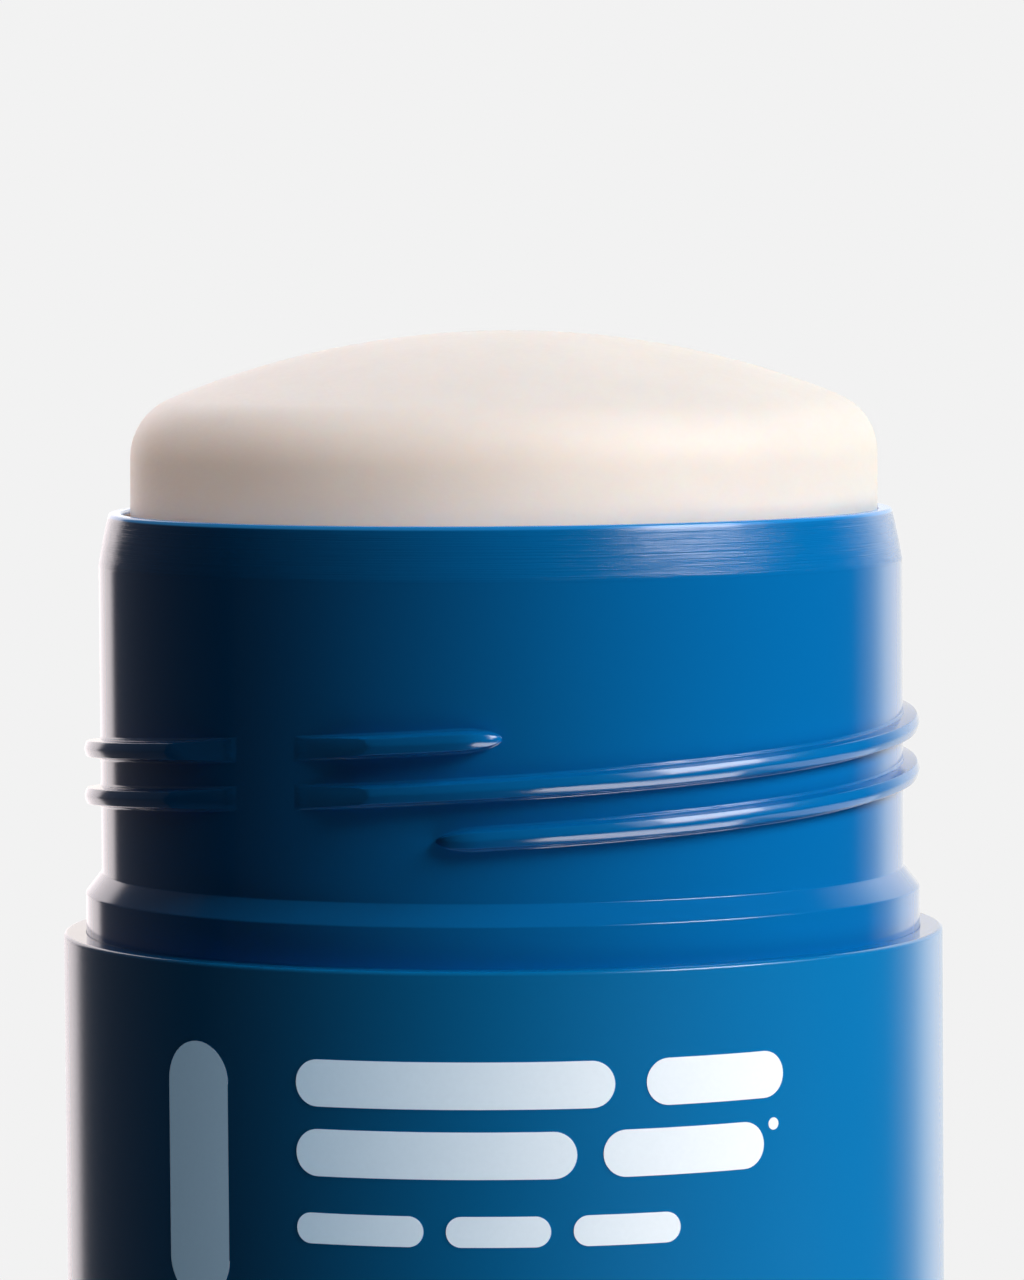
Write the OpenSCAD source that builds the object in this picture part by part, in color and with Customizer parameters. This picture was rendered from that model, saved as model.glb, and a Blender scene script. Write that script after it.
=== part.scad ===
// Twist-up deodorant stick with its cap off. A domed bar rises out of a threaded barrel
// when the dial at the base is turned. Millimetres, +Z up, origin on the resting face's
// centre. The front of the pack faces -Y.

/* [Bar] */
// Diameter of the solid bar
bar_d = 38.3; // [34:0.1:44]
// Radius of the dome on top of the bar
bar_dome_r = 45.4; // [34:0.1:70]
// Rounding between the dome and the straight side
bar_corner_r = 3.2; // [1.5:0.1:5]
// Height of the bar above the carrier's floor
bar_h = 49; // [44:0.5:60]
// Straight side that stands above the rim as pictured
bar_show = 2.8; // [1:0.1:5]

/* [Barrel] */
// Gap between the bar and the bore around it
bar_gap = 0.2; // [0.15:0.01:0.3]
// Wall of the barrel
barrel_wall = 1.18; // [0.95:0.01:1.5]
// Height of the neck, from the shoulder to the rim
neck_h = 21.4; // [18:0.1:25]
// Height over which the neck curves in below the rim
lip_h = 2.65; // [1.8:0.05:3.5]
// Width of the flat ring on the rim
lip_land = 0.45; // [0.3:0.05:0.6]
// Rounding on the edges of the rim
lip_edge_r = 0.12; // [0.05:0.01:0.2]
// How far the collar stands out from the neck
collar_step = 0.82; // [0.6:0.01:1.1]
// Height of the collar above the shoulder
collar_h = 3.1; // [2.4:0.1:4]
// Height of the sloping top of the collar
collar_slope_h = 1.05; // [0.6:0.05:1.5]
// Depth of the collar's band inside the sleeve
collar_drop = 3.5; // [2:0.1:6]

/* [Guide ribs] */
// Number of ribs that keep the carrier from turning
rib_n = 4; // [2:1:6]
// Width of a rib
rib_w = 1.2; // [0.8:0.1:1.8]
// How far a rib stands into the bore
rib_proud = 0.5; // [0.4:0.01:0.6]
// Distance from the rim down to the top of the ribs
rib_stop = 5.4; // [4.2:0.1:7]
// Gap on each side of a rib in its groove
rib_gap = 0.2; // [0.1:0.01:0.3]

/* [Cap thread] */
// Number of thread beads around the neck
thread_starts = 3; // [2:1:3]
// Climb of a bead in one full turn
thread_lead = 7.2; // [6:0.1:8.6]
// Angle that each bead runs through
thread_run = 249; // [180:1:300]
// Height of a bead's lower end above the shoulder
thread_rise = 6.2; // [5.2:0.1:7.4]
// Angle of the first bead's lower end, from the front towards the right
thread_start = -9; // [-30:1:30]
// Width of a bead at its foot
bead_w = 1.43; // [1.1:0.01:1.7]
// Width of the flat on a bead's crest
bead_crest = 0.5; // [0.3:0.01:0.7]
// How far a bead stands out from the neck
bead_h = 0.84; // [0.6:0.01:1]
// Length over which a bead's end is rounded off
bead_nose = 2.2; // [1.5:0.1:3]
// Half the angle of the clear strip at the mould's parting line
strip_half = 4.8; // [3:0.1:7]
// Direction of the parting line, from the front towards the right
strip_at = -34.5; // [-45:0.5:-20]

/* [Sleeve] */
// Gap between the sleeve and what it is pushed onto
sleeve_fit = 0.05; // [0.02:0.01:0.1]
// Wall of the sleeve
sleeve_wall = 1.1; // [0.9:0.01:1.5]
// Rounding on the sleeve's shoulder
shoulder_r = 0.45; // [0.2:0.01:0.6]
// Bevel on the sleeve's lower edge
sleeve_bevel = 0.2; // [0.1:0.01:0.3]

/* [Dial] */
// Height of the dial
dial_h = 8; // [6.5:0.1:10]
// Gap between the dial and the sleeve above it
dial_gap = 0.4; // [0.3:0.01:0.6]
// How much the dial's radius is smaller than the sleeve's
dial_inset = 0.2; // [0.1:0.01:0.4]
// Wall of the dial, at the bottom of its flutes
dial_wall = 1.3; // [1:0.01:1.8]
// Thickness of the dial's floor
dial_floor_t = 1.4; // [1.1:0.01:2]
// Depth of the recess under the dial
foot_recess = 0.5; // [0.3:0.01:0.7]
// Width of the ring that the stick stands on
foot_w = 2.4; // [1.8:0.1:3.2]
// Rounding on the dial's lower edge
dial_round = 0.6; // [0.3:0.01:0.8]
// Number of grip flutes around the dial
flute_n = 60; // [36:1:72]
// Radius of a flute
flute_r = 0.8; // [0.6:0.01:0.95]
// Depth of a flute
flute_depth = 0.32; // [0.2:0.01:0.4]
// Plain band left above the flutes
flute_stop = 1.3; // [0.8:0.1:2]
// Number of stiffening webs inside the dial
web_n = 6; // [3:1:10]
// Thickness of a web
web_t = 1; // [0.8:0.1:1.4]
// Height of a web above the dial's floor
web_h = 3.6; // [2:0.1:4.4]
// Wall of the boss around the hexagonal socket
boss_wall = 1.9; // [1.4:0.1:2.6]

/* [Base plate] */
// Thickness of the plate that closes the barrel
plate_t = 1.4; // [1.1:0.01:2]
// Height of the plate's rings, inside and outside the barrel's end
ring_h = 2.4; // [1.6:0.1:3]
// Thickness of the ring inside the barrel's end
ring_t = 1.2; // [0.9:0.01:1.6]

/* [Lift screw] */
// Diameter of the screw over its thread
screw_d = 6.4; // [5.6:0.1:7.4]
// Depth of the screw's thread
screw_depth = 1; // [0.8:0.01:1.2]
// Rise of the carrier in one turn of the dial
screw_lead = 6; // [5:0.1:7.2]
// Number of thread starts on the screw
screw_starts = 2; // [1:1:2]
// Width of the screw's thread at its foot
screw_foot_w = 1.4; // [1.2:0.01:1.6]
// Width of the screw's thread at its crest
screw_crest_w = 0.7; // [0.5:0.01:0.9]
// Diameter of the flange that bears on the base plate
flange_d = 12; // [10:0.1:14]
// Thickness of the flange
flange_t = 1.2; // [1:0.01:1.6]
// Diameter of the journal that turns in the base plate
journal_d = 6; // [5.8:0.1:7.2]
// Hexagonal end of the screw, across its flats
hex_af = 4.8; // [4:0.1:4.9]
// Depth of the hexagonal end in the dial
hex_depth = 5.6; // [4.5:0.1:6]
// Running gap between pieces that turn or slide on each other
run_gap = 0.15; // [0.1:0.01:0.2]
// Gap around the hexagonal end in its socket
hex_fit = 0.04; // [0.02:0.01:0.08]

/* [Carrier] */
// Lift of the carrier from its lowest place to the pictured one
lift_rest = 3; // [2:0.1:4]
// Further lift from the pictured place to the top
lift_up = 36; // [30:0.5:42]
// Length of screw left in the nut at the top
nut_hold = 5.5; // [4:0.1:7]
// Thickness of the carrier's floor
floor_t = 1.2; // [1:0.01:1.6]
// Wall of the carrier's cup
cup_wall = 0.9; // [0.8:0.01:1.1]
// Height of the cup above the carrier's floor
cup_h = 5; // [4:0.1:7]
// Depth of the guide skirt below the floor
skirt_drop = 4; // [3:0.1:5]
// Wall of the nut around the screw
nut_wall = 1.6; // [1.3:0.01:2.2]
// Length of the nut below the floor
nut_drop = 7; // [6:0.1:9]
// Length of the nut above the floor
nut_rise = 3; // [2:0.1:4.5]
// Number of filling windows through the floor
window_n = 4; // [3:1:6]
// Width of the spokes between the windows
spoke_w = 2.4; // [2:0.1:4]
// Width of the floor left beside the nut and the wall
window_edge = 2; // [1.5:0.1:3]

/* [Hidden] */

$fn = 96;
ring_step = 5;       // degrees between the rings of a thread bead
bead_sink = 0.25;    // how far a bead's foot is buried in the neck
knee_share = 0.72;   // share of a bead's height where its crest begins to round over
knee_w = 0.13;       // width of that rounding on each side of the crest
screw_slices = 20;   // slices of the screw's thread in one turn
arc_steps = 8;       // steps in the arc of a rounded edge
over = 0.5;          // how far a cutting shape runs past what it cuts

bar_r = bar_d / 2;
bore_r = bar_r + bar_gap;
neck_r = bore_r + barrel_wall;
collar_r = neck_r + collar_step;
sleeve_bore_r = collar_r + sleeve_fit;
sleeve_r = sleeve_bore_r + sleeve_wall;
dial_r = sleeve_r - dial_inset;
dial_bore_r = dial_r - flute_depth - dial_wall;
rib_r = bore_r - rib_proud;
groove_r = rib_r - rib_gap;
cup_bore_r = bar_r - cup_wall;

screw_r = screw_d / 2;
screw_core_r = screw_r - screw_depth;
nut_r = screw_r + run_gap + nut_wall;
journal_r = journal_d / 2;
flange_r = flange_d / 2;
boss_r = hex_af / sqrt(3) + hex_fit + boss_wall;

sleeve_z = dial_h + dial_gap;
barrel_z = sleeve_z + plate_t;
flange_z = barrel_z + run_gap;
thread_z = flange_z + flange_t;
nut_z = thread_z + run_gap + lift_rest;
floor_z = nut_z + nut_drop;
bar_z = floor_z + floor_t;
bar_top_z = bar_z + bar_h;
crown_centre_z = bar_top_z - bar_dome_r;
corner_x = bar_r - bar_corner_r;
corner_z = crown_centre_z + sqrt(pow(bar_dome_r - bar_corner_r, 2) - pow(corner_x, 2));
rim_z = corner_z - bar_show;
shoulder_z = rim_z - neck_h;
rib_top_z = rim_z - rib_stop;
screw_top_z = nut_z + lift_up + nut_hold;
channel_top_z = screw_top_z + lift_rest + 2 * run_gap;
boss_top_z = sleeve_z - run_gap;
hex_z = boss_top_z - hex_depth;

// Points of an arc about c, from angle a to angle b
function arc(c, r, a, b, n = arc_steps) =
    [for (i = [0:n]) c + r * [cos(a + (b - a) * i / n), sin(a + (b - a) * i / n)]];

// A tube between two radii, standing on z
module ring(outer, inner, z, h) {
    translate([0, 0, z]) difference() {
        cylinder(r = outer, h = h);
        translate([0, 0, -over]) cylinder(r = inner, h = h + 2 * over);
    }
}

// Bars along the guide ribs, reaching from a radius out past the bore
module rib_bars(inner, side_gap, z, h, reach) {
    for (i = [0:rib_n - 1])
        rotate(45 + i * 360 / rib_n)
            translate([inner, -rib_w / 2 - side_gap, z])
                cube([reach, rib_w + 2 * side_gap, h]);
}

// The barrel's outline on one side of its axis, with the neck's curved lip and the collar
function barrel_outline() =
    let (dx = barrel_wall - lip_land,
        lip_r = (pow(lip_h, 2) + pow(dx, 2)) / (2 * dx),
        lip_end = asin(lip_h / lip_r),
        lip_c = [neck_r - lip_r, rim_z - lip_h],
        land_x = bore_r + lip_land)
    concat(
        [[bore_r, barrel_z], [neck_r, barrel_z]],
        [[neck_r, shoulder_z - collar_drop - collar_step]],
        [[collar_r, shoulder_z - collar_drop]],
        [[collar_r, shoulder_z + collar_h - collar_slope_h]],
        [[neck_r, shoulder_z + collar_h]],
        arc(lip_c, lip_r, 0, lip_end * 0.97),
        arc([land_x - lip_edge_r * 1.6, rim_z - lip_edge_r], lip_edge_r, lip_end * 0.9, 90, 3),
        arc([bore_r + lip_edge_r, rim_z - lip_edge_r], lip_edge_r, 90, 180, 3));

// A bead's section, [out from the neck, up], shrunk by k towards its end, where it dips into
// the neck. Its flanks run on into the neck, so that they cross its surface cleanly.
function bead_section(k) =
    let (wide = max(k, 0.2),
        crest = bead_crest / 2 * wide,
        knee = (bead_crest / 2 + knee_w) * wide,
        slope = (bead_w - bead_crest - 2 * knee_w) / (2 * knee_share * bead_h),
        crest_out = k > 0 ? bead_h * k : -0.4 * bead_sink,
        knee_out = k > 0 ? knee_share * crest_out : -0.6 * bead_sink,
        foot = knee + slope * (knee_out + bead_sink))
    [[-bead_sink, -foot], [knee_out, -knee], [crest_out, -crest],
        [crest_out, crest], [knee_out, knee], [-bead_sink, foot]];

// How full the bead is at a distance s from its nearer end, rounded like a quarter ellipse
function fullness(s) = s >= bead_nose ? 1 : sqrt(1 - pow(1 - s / bead_nose, 2));

// Angles of a bead's rings, closer together in its two rounded ends
function bead_angles() =
    let (nose = bead_nose / neck_r * 180 / PI,
        middle = thread_run - 2 * nose,
        n = ceil(middle / ring_step),
        near = [for (t = [0, 0.05, 0.15, 0.3, 0.5, 0.75]) t * nose])
    concat(near,
        [for (i = [0:n]) nose + middle * i / n],
        [for (i = [len(near) - 1:-1:0]) thread_run - near[i]]);

// One bead of the cap thread, from its lower end up around the neck
module bead() {
    angles = bead_angles();
    last = len(angles) - 1;
    sides = len(bead_section(1));
    points = [for (a = angles)
        let (s = min(a, thread_run - a) * PI / 180 * neck_r, section = bead_section(fullness(s)))
        for (p = section)
            [(neck_r + p[0]) * cos(a), (neck_r + p[0]) * sin(a), p[1] + thread_lead * a / 360]];
    faces = concat(
        [[for (j = [sides - 1:-1:0]) j]],
        [for (i = [0:last - 1]) for (j = [0:sides - 1])
            let (k = (j + 1) % sides, a = i * sides, b = a + sides)
            each [[a + j, a + k, b + j], [a + k, b + k, b + j]]],
        [[for (j = [0:sides - 1]) last * sides + j]]);
    polyhedron(points, faces, convexity = 6);
}

// The cap thread, flattened on both sides along the mould's parting line
module cap_thread() {
    strip_r = neck_r * cos(strip_half);
    intersection() {
        translate([0, 0, shoulder_z + thread_rise])
            for (i = [0:thread_starts - 1])
                rotate(thread_start - 90 + i * 360 / thread_starts) bead();
        rotate(strip_at - 90)
            translate([-strip_r, -sleeve_r, shoulder_z])
                cube([2 * strip_r, 2 * sleeve_r, neck_h]);
    }
}

module inner_barrel() {
    color([0.0, 0.33, 0.6]) union() {
        rotate_extrude() polygon(barrel_outline());
        rib_bars(rib_r, 0, barrel_z + ring_h + over, rib_top_z - barrel_z - ring_h - over,
            rib_proud + barrel_wall / 2);
        cap_thread();
    }
}

module outer_sleeve() {
    color([0.0, 0.36, 0.64]) rotate_extrude() polygon(concat(
        [[sleeve_bore_r, sleeve_z], [sleeve_r - sleeve_bevel, sleeve_z]],
        [[sleeve_r, sleeve_z + sleeve_bevel]],
        arc([sleeve_r - shoulder_r, shoulder_z - shoulder_r], shoulder_r, 0, 90),
        [[sleeve_bore_r, shoulder_z]]));
}

// Closes the barrel from below and carries the screw
module base_plate() {
    plate_r = sleeve_bore_r - sleeve_fit;
    color([0.9, 0.9, 0.88]) difference() {
        union() {
            translate([0, 0, sleeve_z]) cylinder(r = plate_r, h = plate_t);
            ring(plate_r, neck_r + sleeve_fit, sleeve_z, plate_t + ring_h);
            ring(bore_r - sleeve_fit, bore_r - sleeve_fit - ring_t, sleeve_z, plate_t + ring_h);
        }
        translate([0, 0, sleeve_z - over])
            cylinder(r = journal_r + run_gap / 2, h = plate_t + 2 * over);
    }
}

module hexagon(gap, z, h) {
    translate([0, 0, z]) cylinder(r = hex_af / sqrt(3) + gap, h = h, $fn = 6);
}

module dial() {
    flute_z = dial_h - flute_stop;
    color([0.0, 0.33, 0.6]) difference() {
        union() {
            rotate_extrude() polygon(concat(
                [[0, foot_recess], [dial_r - foot_w, foot_recess], [dial_r - foot_w, 0]],
                arc([dial_r - dial_round, dial_round], dial_round, -90, 0),
                arc([dial_r - sleeve_bevel, dial_h - sleeve_bevel], sleeve_bevel, 0, 90, 3),
                [[dial_bore_r, dial_h], [dial_bore_r, foot_recess + dial_floor_t]],
                [[0, foot_recess + dial_floor_t]]));
            translate([0, 0, foot_recess]) cylinder(r = boss_r, h = boss_top_z - foot_recess);
            for (i = [0:web_n - 1])
                rotate(i * 360 / web_n)
                    translate([boss_r - 0.3, -web_t / 2, foot_recess + dial_floor_t - over])
                        cube([dial_bore_r - boss_r + 0.6, web_t, web_h + over]);
        }
        for (i = [0:flute_n - 1])
            rotate(i * 360 / flute_n)
                translate([dial_r - flute_depth + flute_r, 0, -over])
                    cylinder(r = flute_r, h = flute_z + over, $fn = 24);
        hexagon(hex_fit, hex_z - run_gap, hex_depth + over + run_gap);
    }
}

// Section of the screw's thread, whose arcs run at these two radii and half widths
module thread_section(core, crest, foot_w, crest_w) {
    pitch_angle = 360 / screw_starts;
    foot_half = foot_w / screw_lead * 180;
    crest_half = crest_w / screw_lead * 180;
    gap_angle = pitch_angle - 2 * foot_half;
    gap_steps = ceil(gap_angle / 24);
    polygon([for (i = [0:screw_starts - 1])
        let (a = i * pitch_angle)
        each concat(
            [for (t = [-1, 0, 1]) crest * [cos(a + t * crest_half), sin(a + t * crest_half)]],
            [for (j = [0:gap_steps])
                let (b = a + foot_half + gap_angle * j / gap_steps)
                core * [cos(b), sin(b)]])]);
}

// A left-handed twisted length of that section, in step wherever it starts
module twisted(z, h, gap) {
    translate([0, 0, z])
        rotate(-360 * z / screw_lead)
            linear_extrude(height = h, twist = 360 * h / screw_lead,
                slices = ceil(screw_slices * h / screw_lead), convexity = 8, $fn = 12)
                thread_section(screw_core_r + gap, screw_r + gap,
                    screw_foot_w + 2 * gap, screw_crest_w + 2 * gap);
}

module lift_screw() {
    color([0.93, 0.93, 0.91]) union() {
        twisted(thread_z - flange_t / 2, screw_top_z - thread_z + flange_t / 2, 0);
        translate([0, 0, flange_z]) cylinder(r = flange_r, h = flange_t);
        translate([0, 0, boss_top_z]) cylinder(r = journal_r, h = flange_z - boss_top_z + flange_t / 2);
        hexagon(0, hex_z, hex_depth + flange_t / 2);
    }
}

// Windows through the carrier's floor, which the bar fills
module windows(z, h) {
    inner = nut_r + window_edge;
    outer = cup_bore_r - window_edge;
    translate([0, 0, z]) difference() {
        cylinder(r = outer, h = h);
        translate([0, 0, -over]) cylinder(r = inner, h = h + 2 * over);
        for (i = [0:window_n - 1])
            rotate(i * 360 / window_n)
                translate([0, -spoke_w / 2, -over]) cube([bar_r, spoke_w, h + 2 * over]);
    }
}

module carrier() {
    color([0.93, 0.93, 0.91]) difference() {
        union() {
            translate([0, 0, floor_z]) cylinder(r = bar_r, h = floor_t);
            ring(bar_r, cup_bore_r, floor_z - skirt_drop, skirt_drop + floor_t + cup_h);
            translate([0, 0, nut_z]) cylinder(r = nut_r, h = nut_drop + floor_t + nut_rise);
        }
        windows(floor_z - over, floor_t + 2 * over);
        twisted(nut_z - over, nut_drop + floor_t + nut_rise + 2 * over, run_gap);
        rib_bars(groove_r, rib_gap, floor_z - skirt_drop - over,
            skirt_drop + floor_t + cup_h + 2 * over, rib_proud + rib_gap + over);
    }
}

module deodorant_bar() {
    crown = atan2(corner_x, corner_z - crown_centre_z);
    color([0.95, 0.91, 0.86]) difference() {
        union() {
            rotate_extrude() polygon(concat(
                [[0, bar_z], [cup_bore_r, bar_z], [cup_bore_r, bar_z + cup_h]],
                [[bar_r, bar_z + cup_h]],
                arc([corner_x, corner_z], bar_corner_r, 0, 90 - crown),
                arc([0, crown_centre_z], bar_dome_r, 90 - crown, 90, 12)));
            windows(floor_z, floor_t + over);
        }
        translate([0, 0, floor_z - over]) cylinder(r = nut_r, h = over + floor_t + nut_rise);
        translate([0, 0, floor_z]) cylinder(r = screw_r + run_gap, h = channel_top_z - floor_z);
        rib_bars(groove_r, rib_gap, floor_z - over,
            rib_top_z + lift_rest + rib_gap - floor_z + over, rib_proud + rib_gap + over);
    }
}

inner_barrel();
outer_sleeve();
base_plate();
dial();
lift_screw();
carrier();
deodorant_bar();
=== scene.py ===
import math

import bmesh
import bpy
from mathutils import Matrix, Vector


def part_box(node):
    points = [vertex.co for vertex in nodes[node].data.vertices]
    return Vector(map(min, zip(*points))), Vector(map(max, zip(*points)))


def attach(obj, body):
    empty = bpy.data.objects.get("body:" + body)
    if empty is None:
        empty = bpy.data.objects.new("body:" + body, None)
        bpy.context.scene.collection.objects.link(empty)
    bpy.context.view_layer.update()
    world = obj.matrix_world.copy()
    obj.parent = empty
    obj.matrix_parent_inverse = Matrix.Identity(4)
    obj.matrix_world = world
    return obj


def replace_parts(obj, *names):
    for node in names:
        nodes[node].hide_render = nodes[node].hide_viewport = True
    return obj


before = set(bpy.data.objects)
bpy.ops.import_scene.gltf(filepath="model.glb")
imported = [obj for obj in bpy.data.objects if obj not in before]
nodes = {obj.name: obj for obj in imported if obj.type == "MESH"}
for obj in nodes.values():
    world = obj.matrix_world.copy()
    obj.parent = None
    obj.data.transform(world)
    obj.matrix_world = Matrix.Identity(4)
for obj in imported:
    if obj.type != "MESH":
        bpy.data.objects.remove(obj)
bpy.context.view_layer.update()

MM = 0.001

# Levels and radii read from the solids, in millimetres
SLEEVE_LOW, SLEEVE_HIGH = (Vector(c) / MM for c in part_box("outer_sleeve"))
BARREL_LOW, BARREL_HIGH = (Vector(c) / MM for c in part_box("inner_barrel"))
BAR_LOW, BAR_HIGH = (Vector(c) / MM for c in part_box("deodorant_bar"))
DIAL_HIGH = Vector(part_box("dial")[1]) / MM
SLEEVE_R = SLEEVE_HIGH.x
BAR_R = BAR_HIGH.x
DIAL_R = DIAL_HIGH.x
SHOULDER_Z = SLEEVE_HIGH.z
RIM_Z = BARREL_HIGH.z
BAR_TOP_Z = BAR_HIGH.z

# Sizes that the solids also hold, in millimetres and degrees
BAR_GAP = 0.2
BARREL_WALL = 1.18
LIP_H = 2.65
COLLAR_STEP = 0.82
COLLAR_H = 3.1
COLLAR_SLOPE_H = 1.05
COLLAR_DROP = 3.5
RIB_N = 4
RIB_W = 1.2
RIB_PROUD = 0.5
RIB_GAP = 0.2
RIB_STOP = 5.4
RIB_FOOT = 2.9
LIFT_REST = 3.0
DOME_R = 45.4
BAR_CORNER_R = 3.2
CARRIER_FLOOR_T = 1.2
CUP_WALL = 0.9
CUP_H = 5.0
THREAD_STARTS = 3
THREAD_LEAD = 7.2
THREAD_RUN = 249
THREAD_START = -9
BEAD_H = 0.84
BEAD_NOSE = 2.2
STRIP_HALF = 4.8
STRIP_AT = -34.5
DIAL_H = 8.0
DIAL_WALL = 1.3
DIAL_FLOOR_T = 1.4
DIAL_ROUND = 0.6
FLUTE_N = 60
FLUTE_R = 0.8
FLUTE_DEPTH = 0.32
FLUTE_STOP = 1.3
FOOT_RECESS = 0.5
FOOT_W = 2.4
HEX_FLATS = 4.8
HEX_GAP = 0.04
BOSS_WALL = 1.9
SOCKET_R = 2.8
SOCKET_DEPTH = 5.75
WEB_N = 6
WEB_T = 1.0
WEB_H = 3.6

BORE_R = BAR_R + BAR_GAP
NECK_R = BORE_R + BARREL_WALL
COLLAR_R = NECK_R + COLLAR_STEP

# Details of the look, finer than in the solids, in millimetres and degrees
LIP_LAND = 0.63
LIP_KINK = 9
LIP_EDGE = 0.16
LIP_EDGE_STEEP = 12
THREAD_RISE = 6.15
BEAD_BENDS = ((0.3, 0, 14), (2.2, 14, 22), (0.08, 22, 82))
UPPER_SKIRT = (1.0, 23, 13)
LOWER_SKIRT = (0.9, 23, 13)
SKIRT_H = 0.055
BEAD_SINK = 0.004
SLEEVE_GAP = 0.01
SHOULDER_ROUND = 0.2
BAR_LEAN = 0.25
BAR_DRAFT = 0.083
INK_T = 0.03
INK_SINK = 0.01

# Steps around and along the round pieces
ROUND_STEPS = 512
BAR_STEPS = 1200
FLUTE_STEPS = 16
BEAD_STEPS = 220
NOSE_STEPS = 12
INK_STEP = 0.5


# Camera, placed by a pinhole model fitted to the photograph's edges

PHOTO_W, PHOTO_H = 1024, 1280
FOCAL_PX = 7200
MM_PER_PX = 0.05125
AIM_PX = (501.8, 740)
RIM_OVER_AIM_PX = 231
PITCH = math.radians(4.24)
ROLL = math.radians(0.45)
SENSOR = 36
CLIP_NEAR, CLIP_FAR = 0.01, 20


def make_camera():
    """The photograph's camera: the pack's axis at the aimed level lies on the aimed pixel."""
    aim = Vector((0, 0, RIM_Z - RIM_OVER_AIM_PX * MM_PER_PX)) * MM
    ahead = Vector((0, math.cos(PITCH), -math.sin(PITCH)))
    up = Vector((0, math.sin(PITCH), math.cos(PITCH)))
    base = Matrix((Vector((1, 0, 0)), up, -ahead)).transposed()
    ray = Vector((AIM_PX[0] - PHOTO_W / 2, PHOTO_H / 2 - AIM_PX[1], -FOCAL_PX))
    centring = ray.normalized().rotation_difference(Vector((0, 0, -1))).to_matrix()
    turned = base @ Matrix.Rotation(-ROLL, 3, "Z") @ centring
    place = Matrix.Translation(aim - ahead * FOCAL_PX * MM_PER_PX * MM)
    data = bpy.data.cameras.new("camera")
    data.sensor_width = SENSOR
    data.lens = SENSOR * FOCAL_PX / PHOTO_H
    data.clip_start = CLIP_NEAR
    data.clip_end = CLIP_FAR
    cam = bpy.data.objects.new("camera", data)
    bpy.context.scene.collection.objects.link(cam)
    cam.matrix_world = place @ turned.to_4x4()
    bpy.context.scene.camera = cam


# Mesh helpers

def arc(cx, cz, r, start, end, steps=8):
    """Points of an arc about a centre, from one angle to another in degrees."""
    angles = [math.radians(start + (end - start) * i / steps) for i in range(steps + 1)]
    return [(cx + r * math.cos(a), cz + r * math.sin(a)) for a in angles]


def supported(outline, step=5.0, near=0.05):
    """Adds points to long straight stretches, close to both of their ends and evenly between."""
    out = []
    for (ax, az), (bx, bz) in zip(outline, outline[1:] + outline[:1]):
        length = math.hypot(bx - ax, bz - az)
        out.append((ax, az))
        if length > 6 * near:
            inner = length - 2 * near
            n = max(1, math.ceil(inner / step))
            for t in [(near + inner * i / n) / length for i in range(n + 1)]:
                out.append((ax + (bx - ax) * t, az + (bz - az) * t))
    return out


def finish_mesh(name, bm, body, material, sharp=50, flat=()):
    """Makes an object of a bmesh in millimetres that rides on a body. Flat faces aren't shaded
    as part of the round surfaces beside them."""
    bmesh.ops.recalc_face_normals(bm, faces=bm.faces)
    for face in bm.faces:
        face.smooth = True
    for face in flat:
        face.smooth = False
    mesh = bpy.data.meshes.new(name)
    bm.to_mesh(mesh)
    bm.free()
    mesh.transform(Matrix.Scale(MM, 4))
    mesh.set_sharp_from_angle(angle=math.radians(sharp))
    obj = bpy.data.objects.new(name, mesh)
    bpy.context.scene.collection.objects.link(obj)
    mesh.materials.append(material)
    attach(obj, body)
    return obj


def on_round(bm, r, angle, z):
    """A vertex at a radius and height. The angle runs from the front to the right."""
    return bm.verts.new((r * math.sin(angle), -r * math.cos(angle), z))


def lathe(bm, outline, angles, shape=None):
    """Turns an outline of (radius, height) points about +Z. shape(r, z, angle) gives a point's
    radius where it isn't round. Points on the axis become one vertex each."""
    rows = []
    for r, z in outline:
        if r < 1e-6:
            rows.append([bm.verts.new((0, 0, z))] * len(angles))
            continue
        rows.append([on_round(bm, shape(r, z, a) if shape else r, a, z) for a in angles])
    closed = outline[0][0] > 1e-6
    pairs = zip(rows, rows[1:] + rows[:1]) if closed else zip(rows, rows[1:])
    for low, high in pairs:
        for i in range(len(angles)):
            j = (i + 1) % len(angles)
            corners = [low[i], low[j], high[j], high[i]]
            distinct = list(dict.fromkeys(corners))
            if len(distinct) > 2:
                bm.faces.new(distinct)


def even_angles(n):
    """Angles of a full turn in equal steps, in radians."""
    return [2 * math.pi * i / n for i in range(n)]


def block(bm, low, high, turn, bevel):
    """A rounded block between two corners, turned about +Z."""
    made = bmesh.ops.create_cube(bm, size=1)["verts"]
    size = [h - l for l, h in zip(low, high)]
    centre = [(l + h) / 2 for l, h in zip(low, high)]
    for v in made:
        v.co = Vector([c + s * x for c, s, x in zip(centre, size, v.co)])
    edges = list(dict.fromkeys(e for v in made for e in v.link_edges))
    made = bmesh.ops.bevel(bm, geom=edges, offset=bevel, segments=3, profile=0.5,
                           affect="EDGES")["verts"]
    bmesh.ops.rotate(bm, verts=made, cent=(0, 0, 0), matrix=Matrix.Rotation(turn, 3, "Z"))


# Node helpers for the materials

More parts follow.
